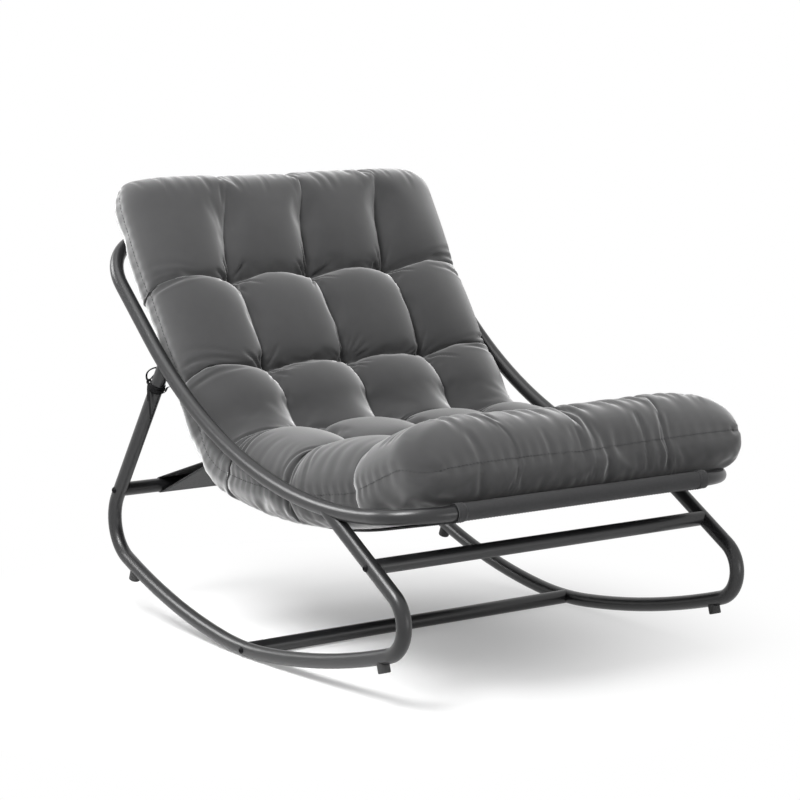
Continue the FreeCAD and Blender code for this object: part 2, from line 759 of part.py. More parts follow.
for bar, place in bar_places.items():
    save(bar + "_cross_bar", shifted(make_cross_bar(*place)))
    save(bar + "_bar_end_plugs", shifted(both_sides([make_end_plug(*place)])))
    save(bar + "_bar_bolts", shifted(both_sides([make_bolt(*place)])))

for end in stop_places:
    right_stop = shifted(make_stop(end))
    save("right_" + end + "_stop", right_stop)
    save("left_" + end + "_stop", mirrored(right_stop))
save("stop_screws", shifted(both_sides([make_stop_screw(end) for end in stop_places])))

save("seat_sling", shifted(make_sling()))
save("sling_tie_down", shifted(make_tie_down()))
save("cushion", shifted(make_cushion()))
save("cushion_seat_filling", shifted(make_filling(0, fold_row - 1, seat_filling_t)))
save("cushion_back_filling", shifted(make_filling(fold_row, len(row_lengths) - 1, back_filling_t)))
right_tie = shifted(make_tie())
save("right_cushion_tie", right_tie)
save("left_cushion_tie", mirrored(right_tie))
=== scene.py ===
import math

import bpy
import numpy as np
from mathutils import Matrix, Vector
from mathutils.kdtree import KDTree


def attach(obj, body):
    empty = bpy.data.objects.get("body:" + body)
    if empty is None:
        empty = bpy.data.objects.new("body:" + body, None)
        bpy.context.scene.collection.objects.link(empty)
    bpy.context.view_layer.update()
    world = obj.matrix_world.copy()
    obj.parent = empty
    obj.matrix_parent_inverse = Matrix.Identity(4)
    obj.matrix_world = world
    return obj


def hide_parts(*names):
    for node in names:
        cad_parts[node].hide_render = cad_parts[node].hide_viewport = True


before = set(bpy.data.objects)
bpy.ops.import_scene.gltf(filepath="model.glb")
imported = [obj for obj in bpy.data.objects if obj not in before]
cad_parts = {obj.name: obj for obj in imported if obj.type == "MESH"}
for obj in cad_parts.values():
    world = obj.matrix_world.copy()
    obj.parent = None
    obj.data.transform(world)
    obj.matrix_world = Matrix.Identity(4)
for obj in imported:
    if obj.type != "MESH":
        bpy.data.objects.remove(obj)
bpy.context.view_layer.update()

# Bent steel tubes of the chair: the two rails and two plug-in tubes of the seat loop, the two rockers
# and the three bars between them. Welded, then powder coated a satin charcoal with a fine orange peel.


class Tone:
    """One socket of a finish; arithmetic on it adds the nodes that work it out."""

    def __init__(self, tree, socket):
        self.tree, self.socket = tree, socket

    def node(self, kind, settings=None, inputs=None, out=0):
        """A new node with its settings, and the values or links of its inputs."""
        made = self.tree.nodes.new(kind)
        for name, value in (settings or {}).items():
            setattr(made, name, value)
        for name, value in (inputs or {}).items():
            if isinstance(value, Tone):
                self.tree.links.new(value.socket, made.inputs[name])
            else:
                made.inputs[name].default_value = value
        return Tone(self.tree, made.outputs[out])

    def maths(self, operation, *values):
        return self.node("ShaderNodeMath", {"operation": operation}, dict(enumerate(values)))

    def __add__(self, other):
        return self.maths("ADD", self, other)

    def __radd__(self, other):
        return self.maths("ADD", other, self)

    def __mul__(self, other):
        return self.maths("MULTIPLY", self, other)

    def __rmul__(self, other):
        return self.maths("MULTIPLY", other, self)

    def __pow__(self, other):
        return self.maths("POWER", self, other)

    def between(self, low, high):
        """Colour from low to high as this number goes from 0 to 1."""
        return self.node("ShaderNodeMix", {"data_type": "RGBA"}, {0: self, 6: (*low, 1), 7: (*high, 1)}, 2)

    def noise(self, scale, detail=2.0):
        """Soft mottle; the larger the scale, the finer its spots."""
        return self.node("ShaderNodeTexNoise", {}, {"Vector": self, "Scale": scale, "Detail": detail})


def new_finish(name):
    """A finish with its shader, and the place of a point on the piece to hang patterns on."""
    finish = bpy.data.materials.new(name)
    finish.use_nodes = True
    shader = finish.node_tree.nodes["Principled BSDF"]
    place = Tone(finish.node_tree, finish.node_tree.nodes.new("ShaderNodeTexCoord").outputs["Object"])
    return finish, shader, place


def wire(shader, **tones):
    """Feeds tones into the shader's sockets of these names."""
    for name, tone in tones.items():
        shader.id_data.links.new(tone.socket, shader.inputs[name.replace("_", " ")])


def raise_bumps(shader, height, strength, depth):
    """Relief that is too fine for the mesh."""
    bump = height.node("ShaderNodeBump", {}, {"Height": height, "Strength": strength, "Distance": depth})
    wire(shader, Normal=bump)


def coat(finish, *nodes):
    """Gives some of the frame's solids a finish."""
    for node in nodes:
        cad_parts[node].data.materials.clear()
        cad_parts[node].data.materials.append(finish)


frame_paint, shader, place = new_finish("charcoal_powder_coat")
paint_dark, paint_pale = (0.009, 0.009, 0.0095), (0.019, 0.019, 0.020)
peel = place.noise(900.0, 3.0)
cloudy = place.noise(14.0, 4.0)
wire(shader, Base_Color=(cloudy * 0.7 + peel * 0.3).between(paint_dark, paint_pale))
wire(shader, Roughness=0.27 + cloudy * 0.05 + peel * 0.05)
raise_bumps(shader, peel, 0.12, 0.0004)
coat(frame_paint, "right_seat_rail", "left_seat_rail", "front_seat_tube", "top_seat_tube", "right_rocker",
     "left_rocker", "front_cross_bar", "base_cross_bar", "rear_cross_bar")

# Threaded plugs in the ends of the bars: plain turned steel, welded in, and hidden once the chair is
# bolted up.
plug_steel, shader, place = new_finish("turned_steel")
steel_dark, steel_pale = (0.38, 0.38, 0.39), (0.52, 0.52, 0.53)
rings = place.noise(260.0, 3.0)
shader.inputs["Metallic"].default_value = 1.0
wire(shader, Base_Color=rings.between(steel_dark, steel_pale), Roughness=0.28 + rings * 0.2)
coat(plug_steel, "front_bar_end_plugs", "base_bar_end_plugs", "rear_bar_end_plugs")

# Button-head bolts that hold the bars to the rockers and the screws of the stops: black oxide on steel,
# a little worn to bright metal where a key or driver has turned them.
bolt_black, shader, place = new_finish("black_oxide")
oxide_dark, oxide_worn = (0.005, 0.005, 0.006), (0.040, 0.040, 0.040)
rub = place.noise(420.0, 4.0)
shader.inputs["Metallic"].default_value = 0.3
shader.inputs["Specular IOR Level"].default_value = 0.12
wire(shader, Base_Color=(rub ** 4.0).between(oxide_dark, oxide_worn), Roughness=0.38 + rub * 0.2)
coat(bolt_black, "front_bar_bolts", "base_bar_bolts", "rear_bar_bolts", "stop_screws")

# Round rubber stops under the ends of the rockers: moulded black rubber, matt with a faint bloom, screwed
# up from below.
stop_rubber, shader, place = new_finish("black_rubber")
rubber_dark, rubber_pale = (0.018, 0.018, 0.018), (0.045, 0.045, 0.045)
bloom = place.noise(60.0, 5.0)
grit = place.noise(1500.0, 2.0)
wire(shader, Base_Color=(bloom * 0.6 + grit * 0.4).between(rubber_dark, rubber_pale))
wire(shader, Roughness=0.6 + bloom * 0.25)
raise_bumps(shader, grit, 0.2, 0.0003)
coat(stop_rubber, "right_front_stop", "left_front_stop", "right_rear_stop", "left_rear_stop")

# Sling: one length of dark grey woven cloth, sewn into a sleeve at the front tube and at the top tube.
# It hangs straight off the front tube, lies under the seat, turns and runs up straight to the top.


def run_points(start, heading, runs, step):
    """Points and headings along a side path of runs, each a length and the degrees that it turns."""
    lengths = np.concatenate([[0.0], np.cumsum([length for length, turn in runs])])
    turns = np.radians(heading + np.concatenate([[0.0], np.cumsum([turn for length, turn in runs])]))
    fine = np.linspace(0.0, lengths[-1], 4001)
    angles = np.interp(fine, lengths, turns)
    ds = fine[1] - fine[0]
    middle = (angles[1:] + angles[:-1]) / 2
    y = start[0] + np.concatenate([[0.0], np.cumsum(np.cos(middle) * ds)])
    z = start[1] + np.concatenate([[0.0], np.cumsum(np.sin(middle) * ds)])
    s = np.linspace(0.0, lengths[-1], max(int(lengths[-1] / step), 2) + 1)
    return s, np.interp(s, fine, y), np.interp(s, fine, z), np.interp(s, fine, angles)


def new_piece(name, points, faces, finish, uv=None):
    mesh = bpy.data.meshes.new(name)
    mesh.from_pydata([tuple(p) for p in points], [], faces)
    mesh.update()
    if uv is not None:
        layer = mesh.uv_layers.new(name="cloth")
        corners = np.empty(len(mesh.loops), dtype=int)
        mesh.loops.foreach_get("vertex_index", corners)
        layer.data.foreach_set("uv", np.asarray(uv)[corners].astype(np.float32).ravel())
    mesh.materials.append(finish)
    mesh.shade_smooth()
    piece = bpy.data.objects.new(name, mesh)
    bpy.context.scene.collection.objects.link(piece)
    return piece


def grid_faces(rows, columns):
    i, j = np.meshgrid(np.arange(rows - 1), np.arange(columns - 1), indexing="ij")
    a = (i * columns + j).ravel()
    return np.stack([a, a + 1, a + columns + 1, a + columns], axis=1).tolist()


def plain_mesh(piece):
    """Applies the modifiers of a piece."""
    bpy.context.view_layer.update()
    flat = bpy.data.meshes.new_from_object(piece.evaluated_get(bpy.context.evaluated_depsgraph_get()))
    piece.modifiers.clear()
    piece.data = flat


def cloth_points(half, y, z):
    """Points of a sheet, edge to edge across each step of its path."""
    columns = np.linspace(-1, 1, cloth_columns)
    level = np.ones(cloth_columns)
    return np.stack([np.outer(half, columns), np.outer(y, level), np.outer(z, level)], axis=2)


def cloth_spots(points, s):
    """Where the points of a sheet lie on the flat cloth, for its weave."""
    return np.stack([points[:, 0] + 0.3, np.repeat(s, len(points) // len(s))], axis=1)


def cloth_wall(piece, thickness):
    wall = piece.modifiers.new("cloth", "SOLIDIFY")
    wall.thickness, wall.offset = thickness, 0.0
    plain_mesh(piece)


def beside_sling(part, x, off):
    """Points at a distance off the sling's middle, along some steps of its path."""
    return np.stack([x, y[part] - off * np.sin(h[part]), z[part] + off * np.cos(h[part])], axis=1)


def join(parts):
    """Points and faces of several meshes as those of one."""
    points, faces = [], []
    for some, made in parts:
        faces += [[k + len(points) for k in face] for face in made]
        points += some.tolist()
    return points, faces


sling_cloth, shader, place = new_finish("woven_sling_cloth")
cloth_dark, cloth_pale = (0.017, 0.017, 0.018), (0.040, 0.040, 0.0415)
thread = 0.0011
spot = place.node("ShaderNodeUVMap", {"uv_map": "cloth"})
across = spot.node("ShaderNodeSeparateXYZ", {}, {0: spot})
along = Tone(across.tree, across.socket.node.outputs["Y"])
warp = across.maths("SINE", across * (math.pi / thread))
weft = along.maths("SINE", along * (math.pi / thread))
weave = warp * weft * 0.5 + 0.5
slub = place.noise(240.0, 3.0)
wire(shader, Base_Color=(weave * 0.5 + slub * 0.5).between(cloth_dark, cloth_pale))
wire(shader, Roughness=0.72 + weave * 0.12)
raise_bumps(shader, weave * 0.8 + slub * 0.4, 0.35, 0.0005)
shader.inputs["Sheen Weight"].default_value = 0.08
shader.inputs["Specular IOR Level"].default_value = 0.35

sling_width, sling_top_width, sling_thick = 0.520, 0.450, 0.0016
taper_start = 0.402   # height at which the sling begins to narrow
cloth_step, cloth_columns = 0.0035, 61
sleeve_radius, sleeve_turn = 0.0136, 350.0
front_tube, top_tube = (-0.47916, 0.30860), (0.47916, 0.67679)
sleeve_length = sleeve_radius * math.radians(sleeve_turn)
sling_runs = [(sleeve_length, sleeve_turn), (0.18855, 0.0), (0.39598, 22.688), (0.12348, 44.218),
              (0.46353, 0.0), (sleeve_length, -sleeve_turn)]
sling_heading = -12.688
start_angle = math.radians(sling_heading - sleeve_turn - 90)
sling_start = (front_tube[0] + sleeve_radius * math.cos(start_angle),
               front_tube[1] + sleeve_radius * math.sin(start_angle))
s, y, z, h = run_points(sling_start, sling_heading - sleeve_turn, sling_runs, cloth_step)
taper = np.clip((z - taper_start) / (top_tube[1] - taper_start), 0, 1)
half = (sling_width + (sling_top_width - sling_width) * taper) / 2
points = cloth_points(half, y, z).reshape(-1, 3)
sling = new_piece("sling", points, grid_faces(len(s), cloth_columns), sling_cloth, cloth_spots(points, s))
cloth_wall(sling, sling_thick * 0.9)

# The edges are folded outside the sleeves and under the seat; at the top sleeve that is the other face.
hem_insets, hem_lift, hem_press = (-0.0004, 0.004, 0.009, 0.0145, 0.016), 0.95, 0.45
stitch_inset, stitch_lift = 0.0115, 1.45
top_sleeve = len(s) - int(sleeve_length / cloth_step) - 1
hem_parts, hem_spots, sling_rows = [], [], []
for side in (-1, 1):
    for first, last, face in ((0, top_sleeve - 1, -1), (top_sleeve, len(s) - 1, 1)):
        part = slice(first, last + 1)
        rim = np.stack([beside_sling(part, side * (half[part] - inset), face * sling_thick * hem_lift)
                        for inset in hem_insets], axis=1)
        rim[:, -1, 1:] -= (rim[:, -1, 1:] - np.stack([y[part], z[part]], axis=1)) * hem_press
        rim = rim.reshape(-1, 3)
        hem_parts.append((rim, grid_faces(last - first + 1, len(hem_insets))))
        hem_spots.append(cloth_spots(rim, s[part]))
        sling_rows.append(beside_sling(part, side * (half[part] - stitch_inset),
                                       face * sling_thick * stitch_lift))
# A row of stitches across the sling closes each sleeve.
sleeve_seam, row_inset, row_points, row_lift = 0.006, 0.018, 40, -0.55
for under_sleeve in (sleeve_length + sleeve_seam, s[-1] - sleeve_length - sleeve_seam):
    k = int(np.argmin(np.abs(s - under_sleeve)))
    reach = half[k] - row_inset
    row = np.linspace(-reach, reach, row_points)
    sling_rows.append(beside_sling(np.full(row_points, k), row, sling_thick * row_lift))
hems = new_piece("sling_hems", *join(hem_parts), sling_cloth, np.concatenate(hem_spots))
cloth_wall(hems, sling_thick * 0.8)
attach(hems, "root")
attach(sling, "root")
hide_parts("seat_sling")
float(np.sum((half[1:] + half[:-1]) * np.diff(s)))

# Tie-down panel: a second width of the same cloth, sewn under the sling where the seat turns into the
# back and looped round the rear bar, so that the sling keeps its hollow.
rear_bar, panel_tip = (0.41009, 0.22447), (0.19788, 0.30815)
panel_flare = 0.03
reach = math.dist(panel_tip, rear_bar)
lean = math.degrees(math.atan2(rear_bar[1] - panel_tip[1], rear_bar[0] - panel_tip[0]))
spread = math.degrees(math.asin(sleeve_radius / reach))
leg = math.sqrt(reach ** 2 - sleeve_radius ** 2)
wrap_turn = 180 + 2 * spread
wrap = sleeve_radius * math.radians(wrap_turn)
s, y, z, h = run_points(panel_tip, lean + spread, [(leg, 0.0), (wrap, -wrap_turn), (leg, 0.0)], cloth_step)
points = cloth_points(np.full(len(s), sling_width / 2), y, z)
slant = np.clip((reach - np.hypot(y - rear_bar[0], z - rear_bar[1])) / reach, 0, 1)
points[:, :, 0] *= (1 - panel_flare * (1 - slant))[:, None] + panel_flare
points = points.reshape(-1, 3)
panel = new_piece("tie_down_panel", points, grid_faces(len(s), cloth_columns), sling_cloth,
                  cloth_spots(points, s))
cloth_wall(panel, sling_thick * 0.9)
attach(panel, "root")
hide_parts("sling_tie_down")

# Cushion: one stuffed pad in dark grey velvet, two covers sewn together along a seam round the middle of
# its thickness and drawn down by rows of tufts, so that it puffs up in five rows of four behind a plain
# front roll.
velvet, shader, place = new_finish("dark_grey_velvet")
velvet_dark, velvet_pale = (0.024, 0.024, 0.0245), (0.050, 0.050, 0.051)
nap = place.noise(9.0, 3.0)
pile = place.noise(1600.0, 2.0)
brushed = place.noise(45.0, 4.0)
wire(shader, Base_Color=(nap * 0.45 + brushed * 0.30 + pile * 0.25).between(velvet_dark, velvet_pale))
wire(shader, Roughness=0.80 + pile * 0.12)
raise_bumps(shader, pile * 0.6 + brushed * 0.4, 0.12, 0.0006)
shader.inputs["Sheen Weight"].default_value = 1.0
shader.inputs["Sheen Roughness"].default_value = 0.43
shader.inputs["Sheen Tint"].default_value = (1.0, 1.0, 1.0, 1)
shader.inputs["Specular IOR Level"].default_value = 0.25

pad_start, pad_heading = (-0.49196, 0.33507), -35.569
pad_runs = [(0.17971, 22.881), (0.03188, 0.0), (0.39550, 22.688), (0.12255, 44.218), (0.52435, 0.0)]
row_lengths = np.array([0.188, 0.190, 0.207, 0.257, 0.188, 0.224])
row_starts = np.concatenate([[0.0], np.cumsum(row_lengths)])
pad_length = row_starts[-1]
top_row = len(row_lengths) - 1
tuft_heights = np.array([0.060, 0.076, 0.090, 0.062, 0.054])
tuft_pitch = 0.170
seam_height = 0.062
crown_heights = np.array([0.150, 0.148, 0.146, 0.144, 0.130, 0.128])
channel_rise, crease_drop, crease_arch = 0.028, 0.038, 0.003
arch_front_fade, arch_top_fade, crease_side_ease = 0.15, 0.10, 0.6
# the creases of the top row lean to one side, the right one most, and end below the top edge
lean_start, lean_reach, crease_lean, right_lean = 0.03, 0.19, 0.045, 0.04
crease_end_reach, crease_end_share = 0.11, 0.25
half_width, roll_overhang, top_spread, draw_in = 0.3310, 0.016, 0.004, 0.006
# the pad lies a little askew on the sling
roll_shift, top_shift, top_lean, shift_reach = 0.032, -0.006, 0.011, 0.42
end_round, under_round, front_corner, top_corner = 0.062, 0.044, 0.046, 0.030
# the seam lies low along the front and climbs round the ends of the roll
front_seam_drop, left_drop_ease, roll_end_rise, front_reach = 0.013, 0.6, 0.014, 0.06
roll_end_square, roll_end_start, roll_end_reach = 6, 0.09, 0.14
# exponents of the round of the upper and of the lower cover towards the side seams
side_square, side_round, under_square, under_full = 8.0, 2.3, 14.0, 2.0
lines_along, lines_across = 156, 108
fold_reach = 0.120


def puff(t, full=2.3):
    """0 in the middle of a puff, 1 in the crease beside it, steep near the crease."""
    return 1 - (1 - np.clip(np.abs(t), 0, 1) ** full) ** (1 / full)


def smooth(t):
    t = np.clip(t, 0, 1)
    return t * t * (3 - 2 * t)


def spread_lines(places, reach, count):
    """Lines along the pad or across it, closer together near some places than between them."""
    fine = np.linspace(places[0], places[-1], 6000)
    near = np.min(np.abs(fine[:, None] - np.asarray(places)[None, :]), axis=1)
    weight = np.cumsum(0.6 + np.exp(-(near / reach) ** 2))
    return np.interp(np.linspace(weight[0], weight[-1], count), weight, fine)


def rounded(end, radius):
    """0 at an end of the pad and 1 from a radius on, as a quarter round."""
    return np.sqrt(np.clip(1 - np.clip(1 - end / radius, 0, 1) ** 2, 0, 1))


def pad_surface(s, w):
    """Half width, heights of the upper and lower cover, hold of the creases and nearness to a tuft."""
    end = np.minimum(s, pad_length - s)
    full = rounded(end, end_round)
    # between two tufts the crease of a row climbs towards the row above it
    rough_x = np.abs(w) * half_width
    outside = (rough_x - tuft_pitch) / (half_width - tuft_pitch)
    arch = np.sin(np.pi * np.where(rough_x < tuft_pitch, rough_x / tuft_pitch, outside)) ** 2
    arch = crease_arch * arch * smooth(s / arch_front_fade) * smooth((pad_length - s) / arch_top_fade)
    s = np.clip(s - arch, 0, pad_length)
    row = np.clip(np.searchsorted(row_starts, s, side="right") - 1, 0, top_row)
    t = (s - row_starts[row]) / row_lengths[row]
    first, last = row == 0, row == top_row
    toward = np.where(first, np.clip(2 * t - 1, 0, 1), np.where(last, np.clip(1 - 2 * t, 0, 1), 2 * t - 1))
    row_crease = puff(toward) * (1 - crease_side_ease * smooth(outside))
    half = half_width + np.where(first, roll_overhang * (1 - row_crease), np.where(last, top_spread, 0.0))
    half = half - draw_in * row_crease - np.where(s < pad_length / 2, front_corner, top_corner) * (1 - full)
    lean = smooth((s - row_starts[top_row] - lean_start) / lean_reach)
    lean = lean * (crease_lean + right_lean * np.clip(-w / 0.5, 0, 1))
    x = np.abs(w - lean) * half
    inner = np.abs(2 * np.mod(x / tuft_pitch, 1.0) - 1)
    outer = np.clip(1 - 2 * (x - tuft_pitch) / (half - tuft_pitch), 0, 1)
    column_crease = puff(np.where(x < tuft_pitch, inner, outer))
    column_crease = column_crease * smooth((pad_length - s) / crease_end_reach - crease_end_share)
    before = tuft_heights[np.clip(row - 1, 0, top_row - 1)]
    after = tuft_heights[np.clip(row, 0, top_row - 1)]
    tuft = before + (after - before) * smooth(t)
    top = crown_heights[row]
    drop = np.where(first, 0.0, crease_drop)
    height = (1 - column_crease) * ((1 - row_crease) * top + row_crease * (tuft + channel_rise))
    height = height + column_crease * ((1 - row_crease) * (top - drop) + row_crease * tuft)
    side = (1 - np.abs(w) ** side_square) ** (1 / side_round)
    under = (1 - np.abs(w) ** under_square) ** (1 / under_full) * rounded(end, under_round)
    low_front = front_seam_drop * (1 - left_drop_ease * np.clip(w, 0, 1) ** 2)
    low_front = low_front * (1 - smooth(s / front_reach))
    high_ends = smooth(s / front_reach) - smooth((s - roll_end_start) / roll_end_reach)
    high_ends = roll_end_rise * np.abs(w) ** roll_end_square * high_ends
    seam = seam_height - low_front + high_ends
    held = np.maximum(row_crease ** 2, np.where(first, 0.0, column_crease ** 2))
    return half, seam + (height - seam) * side * full, seam * (1 - under), held, row_crease * column_crease


line_s = spread_lines(row_starts, 0.030, lines_along)
line_w = spread_lines(np.array([-1, -0.5, 0.0, 0.5, 1]), 0.08, lines_across)
fine_s, fine_y, fine_z, fine_h = run_points(pad_start, pad_heading, pad_runs, 0.001)
base_y, base_z = np.interp(line_s, fine_s, fine_y), np.interp(line_s, fine_s, fine_z)
# the thickness turns with the sling more gently than the sling itself does
reaches = np.linspace(-fold_reach, fold_reach, 13)
base_h = np.mean([np.interp(line_s + r, fine_s, fine_h) for r in reaches], axis=0)
S, W = np.meshgrid(line_s, line_w, indexing="ij")
half, upper, lower, held, tufted = pad_surface(S, W)
rows, across_count = S.shape
askew = top_shift + (roll_shift - top_shift) * smooth(1 - S / shift_reach)
askew = askew + top_lean * smooth((S - row_starts[top_row]) / row_lengths[top_row])


def pad_points(n):
    """Points at a height above the sling, on the lines along and across the pad."""
    sn, cs = np.sin(base_h)[:, None], np.cos(base_h)[:, None]
    return np.stack([W * half + askew, base_y[:, None] - n * sn, base_z[:, None] + n * cs], axis=2)


edge = np.zeros((rows, across_count), dtype=bool)
edge[0], edge[-1], edge[:, 0], edge[:, -1] = True, True, True, True
index = np.arange(rows * across_count).reshape(rows, across_count)
low_index = np.where(edge, index, 0)
low_index[~edge] = rows * across_count + np.arange((~edge).sum())


def both_covers(top_values, bottom_values):
    return np.concatenate([top_values.reshape(-1, *top_values.shape[2:]), bottom_values[~edge]])


points = both_covers(pad_points(upper), pad_points(lower))
uv = both_covers(np.stack([W * half + 0.5, S], axis=2), np.stack([W * half + 0.5, S + 1.5], axis=2))
faces = []
for i in range(rows - 1):
    for j in range(across_count - 1):
        faces.append([index[i, j], index[i, j + 1], index[i + 1, j + 1], index[i + 1, j]])
        faces.append([low_index[i, j], low_index[i + 1, j], low_index[i + 1, j + 1], low_index[i, j + 1]])
cushion = new_piece("tufted_cushion", points, faces, velvet, uv)

for name, on_top, below in (("pad_s", S, S), ("pad_x", W * half, W * half),
                            ("pad_top", np.ones_like(S), np.zeros_like(S)),
                            ("pad_seam", edge * 1.0, edge * 1.0)):
    values = both_covers(on_top, below).astype(np.float32)
    cushion.data.attributes.new(name, "FLOAT", "POINT").data.foreach_set("value", values)

# The tufts and the underside stay put and the creases give a little, while the stuffing pushes the covers
# out. The movement is eased off towards a limit.
most_swell, swell_frames, hold_steps = 0.017, 20, 40
under_hold_reach, end_hold_reach, tuft_hold, crease_hold = 0.22, 0.05, 1.6, 0.45
from_end = np.minimum(S, pad_length - S)
under_hold = np.clip((1 - np.abs(W)) / under_hold_reach, 0, 1) * smooth(from_end / end_hold_reach)
top_hold = np.clip(np.maximum(smooth(tufted * tuft_hold), crease_hold * held), 0, 1)
holds = both_covers(top_hold, under_hold)
group = cushion.vertex_groups.new(name="held")
for step in range(1, hold_steps + 1):
    some = np.nonzero(np.round(holds * hold_steps) == step)[0]
    if len(some):
        group.add(some.tolist(), step / hold_steps, "REPLACE")
cloth = cushion.modifiers.new("stuffing", "CLOTH")
cloth.settings.vertex_group_mass = "held"
cloth.settings.pin_stiffness = 2.0
cloth.settings.quality = 6
cloth.settings.mass = 0.3
cloth.settings.tension_stiffness = cloth.settings.compression_stiffness = 12.0
cloth.settings.shear_stiffness = 6.0
cloth.settings.bending_stiffness = 0.35
cloth.settings.air_damping = 2.0
cloth.settings.shrink_min = -0.045
cloth.settings.use_pressure = True
cloth.settings.uniform_pressure_force = 4.0
cloth.settings.effector_weights.gravity = 0.0
cloth.collision_settings.use_collision = False
cloth.point_cache.frame_start, cloth.point_cache.frame_end = 1, swell_frames
for moment in range(1, swell_frames + 1):
    bpy.context.scene.frame_set(moment)
plain_mesh(cushion)
bpy.context.scene.frame_set(1)
swollen = np.empty(len(points) * 3)
cushion.data.vertices.foreach_get("co", swollen)
moved = swollen.reshape(-1, 3) - points
size = np.linalg.norm(moved, axis=1, keepdims=True)
moved *= most_swell * np.tanh(size / most_swell) / np.maximum(size, 1e-9)
cushion.data.vertices.foreach_set("co", (points + moved).ravel())
cushion.data.update()

finer = cushion.modifiers.new("finer", "SUBSURF")
finer.levels = finer.render_levels = 1
plain_mesh(cushion)

# Puckers fan out from the tufts, and gathers run in from the seam where the covers are eased together.
count = len(cushion.data.vertices)
place_of, normal_of = np.empty(count * 3), np.empty(count * 3)
cushion.data.vertices.foreach_get("co", place_of)
cushion.data.vertices.foreach_get("normal", normal_of)
place_of, normal_of = place_of.reshape(-1, 3), normal_of.reshape(-1, 3)
marks = {}
for name in ("pad_s", "pad_x", "pad_top", "pad_seam"):
    marks[name] = np.empty(count, dtype=np.float32)
    cushion.data.attributes[name].data.foreach_get("value", marks[name])
dice = np.random.default_rng(11)
top_cover, under_cover = 1, 0
folds = []


def fold(cover, start, end, widths, depths):
    """A fold in a cover between two places along and across the pad, its width and depth drawn."""
    folds.append((cover, start, end, dice.uniform(*widths), dice.uniform(*depths)))


tuft_room = 0.008
for row_s in row_starts[1:-1]:
    for column in (-1, 0, 1):
        for ray in range(12):
            crease_way = math.radians(90 * (ray % 4))
            way = crease_way + dice.choice([-1, 1]) * math.radians(dice.uniform(9, 40))
            length = dice.uniform(0.028, 0.070)
            start, end = ((row_s + r * math.cos(way), column * tuft_pitch + r * math.sin(way))
                          for r in (tuft_room, length))
            fold(top_cover, start, end, (0.0030, 0.0048), (0.0012, 0.0032))
for side in (-1, 1):
    # fans at the ends of the creases
    for row_s in row_starts[1:-1]:
        for _ in range(6):
            off = dice.uniform(-0.055, 0.055)
            inward = half_width - dice.uniform(0.06, 0.13)
            fold(top_cover, (row_s + off, side * half_width), (row_s + off * 0.35, side * inward),
                 (0.004, 0.007), (0.0010, 0.0024))
    # gathers in from the side seam, deepest at the ends of the roll
    for row, share_end, strength in ((0, 0.6, 1.0), (1, 0.9, 0.25), (2, 0.9, 0.25)):
        for share in np.linspace(0.12, share_end, 5):
            at = row_starts[row] + (share + dice.uniform(-0.05, 0.05)) * row_lengths[row]
            lean = (share - 0.5) * -0.06
            inward = half_width - dice.uniform(0.05, 0.13)
            depth = dice.uniform(0.0012, 0.0034) * strength
            start, end = (at, side * half_width), (at + lean, side * inward)
            folds.append((top_cover, start, end, dice.uniform(0.007, 0.013), depth))
    # gathers in the underside
    for row in (0, 1, 2, 3):
        for share in np.linspace(0.1, 0.9, 4):
            at = row_starts[row] + (share + dice.uniform(-0.10, 0.10)) * row_lengths[row]
            fold(under_cover, (at, side * half_width), (at, side * (half_width - 0.07)),
                 (0.006, 0.012), (0.0006, 0.0020))
# folds over the front roll and short ones at its seam
across_roll = half_width + roll_overhang
for x in np.arange(-across_roll + 0.11, across_roll - 0.02, 0.056):
    x = x + dice.uniform(-0.014, 0.014)
    fold(top_cover, (0.090, x - dice.uniform(0.0, 0.014)),
         (dice.uniform(0.001, 0.008), x + dice.uniform(-0.004, 0.014)), (0.008, 0.013), (0.0026, 0.0058))
    x = x + 0.028 + dice.uniform(-0.008, 0.008)
    fold(top_cover, (0.080, x), (dice.uniform(0.008, 0.018), x + dice.uniform(-0.008, 0.008)),
         (0.006, 0.011), (0.0008, 0.0034))
    x = x + dice.uniform(-0.02, 0.02)
    if dice.uniform() < 0.6:
        fold(under_cover, (0.001, x), (dice.uniform(0.020, 0.040), x + dice.uniform(-0.006, 0.006)),
             (0.007, 0.011), (0.0020, 0.0042))
    if dice.uniform() < 0.5:
        fold(top_cover, (0.0005, x), (dice.uniform(0.006, 0.014), x + dice.uniform(-0.006, 0.006)),
             (0.006, 0.009), (0.0014, 0.0030))
# gathers in from the top edge
for x in np.arange(-half_width + 0.03, half_width - 0.02, 0.029):
    x = x + dice.uniform(-0.010, 0.010)
    fold(top_cover, (pad_length - 0.006, x),
         (pad_length - dice.uniform(0.04, 0.09), x + dice.uniform(-0.012, 0.012)),
         (0.004, 0.008), (0.0006, 0.0024))
sink = np.zeros(count)
for cover, start, end, width, depth in folds:
    run = np.array(end) - np.array(start)
    reach = np.hypot(*run)
    run = run / reach
    near = np.nonzero((np.abs(marks["pad_s"] - (start[0] + end[0]) / 2) < reach / 2 + 4 * width)
                      & (np.abs(marks["pad_x"] - (start[1] + end[1]) / 2) < reach / 2 + 4 * width)
                      & (np.abs(marks["pad_top"] - cover) < 0.6))[0]
    ds, dx = marks["pad_s"][near] - start[0], marks["pad_x"][near] - start[1]
    along = (ds * run[0] + dx * run[1]) / reach
    off = ((dx * run[0] - ds * run[1]) / width) ** 2
    sink[near] += depth * (1 - 1.2 * off) * np.exp(-off) * smooth(along / 0.12) * smooth((1 - along) / 0.45)
seam_at = np.nonzero(marks["pad_seam"] > 0.66)[0]
tree = KDTree(len(seam_at))
for k, v in enumerate(seam_at):
    tree.insert(place_of[v], k)
tree.balance()
from_seam = np.array([tree.find(p)[2] for p in place_of])
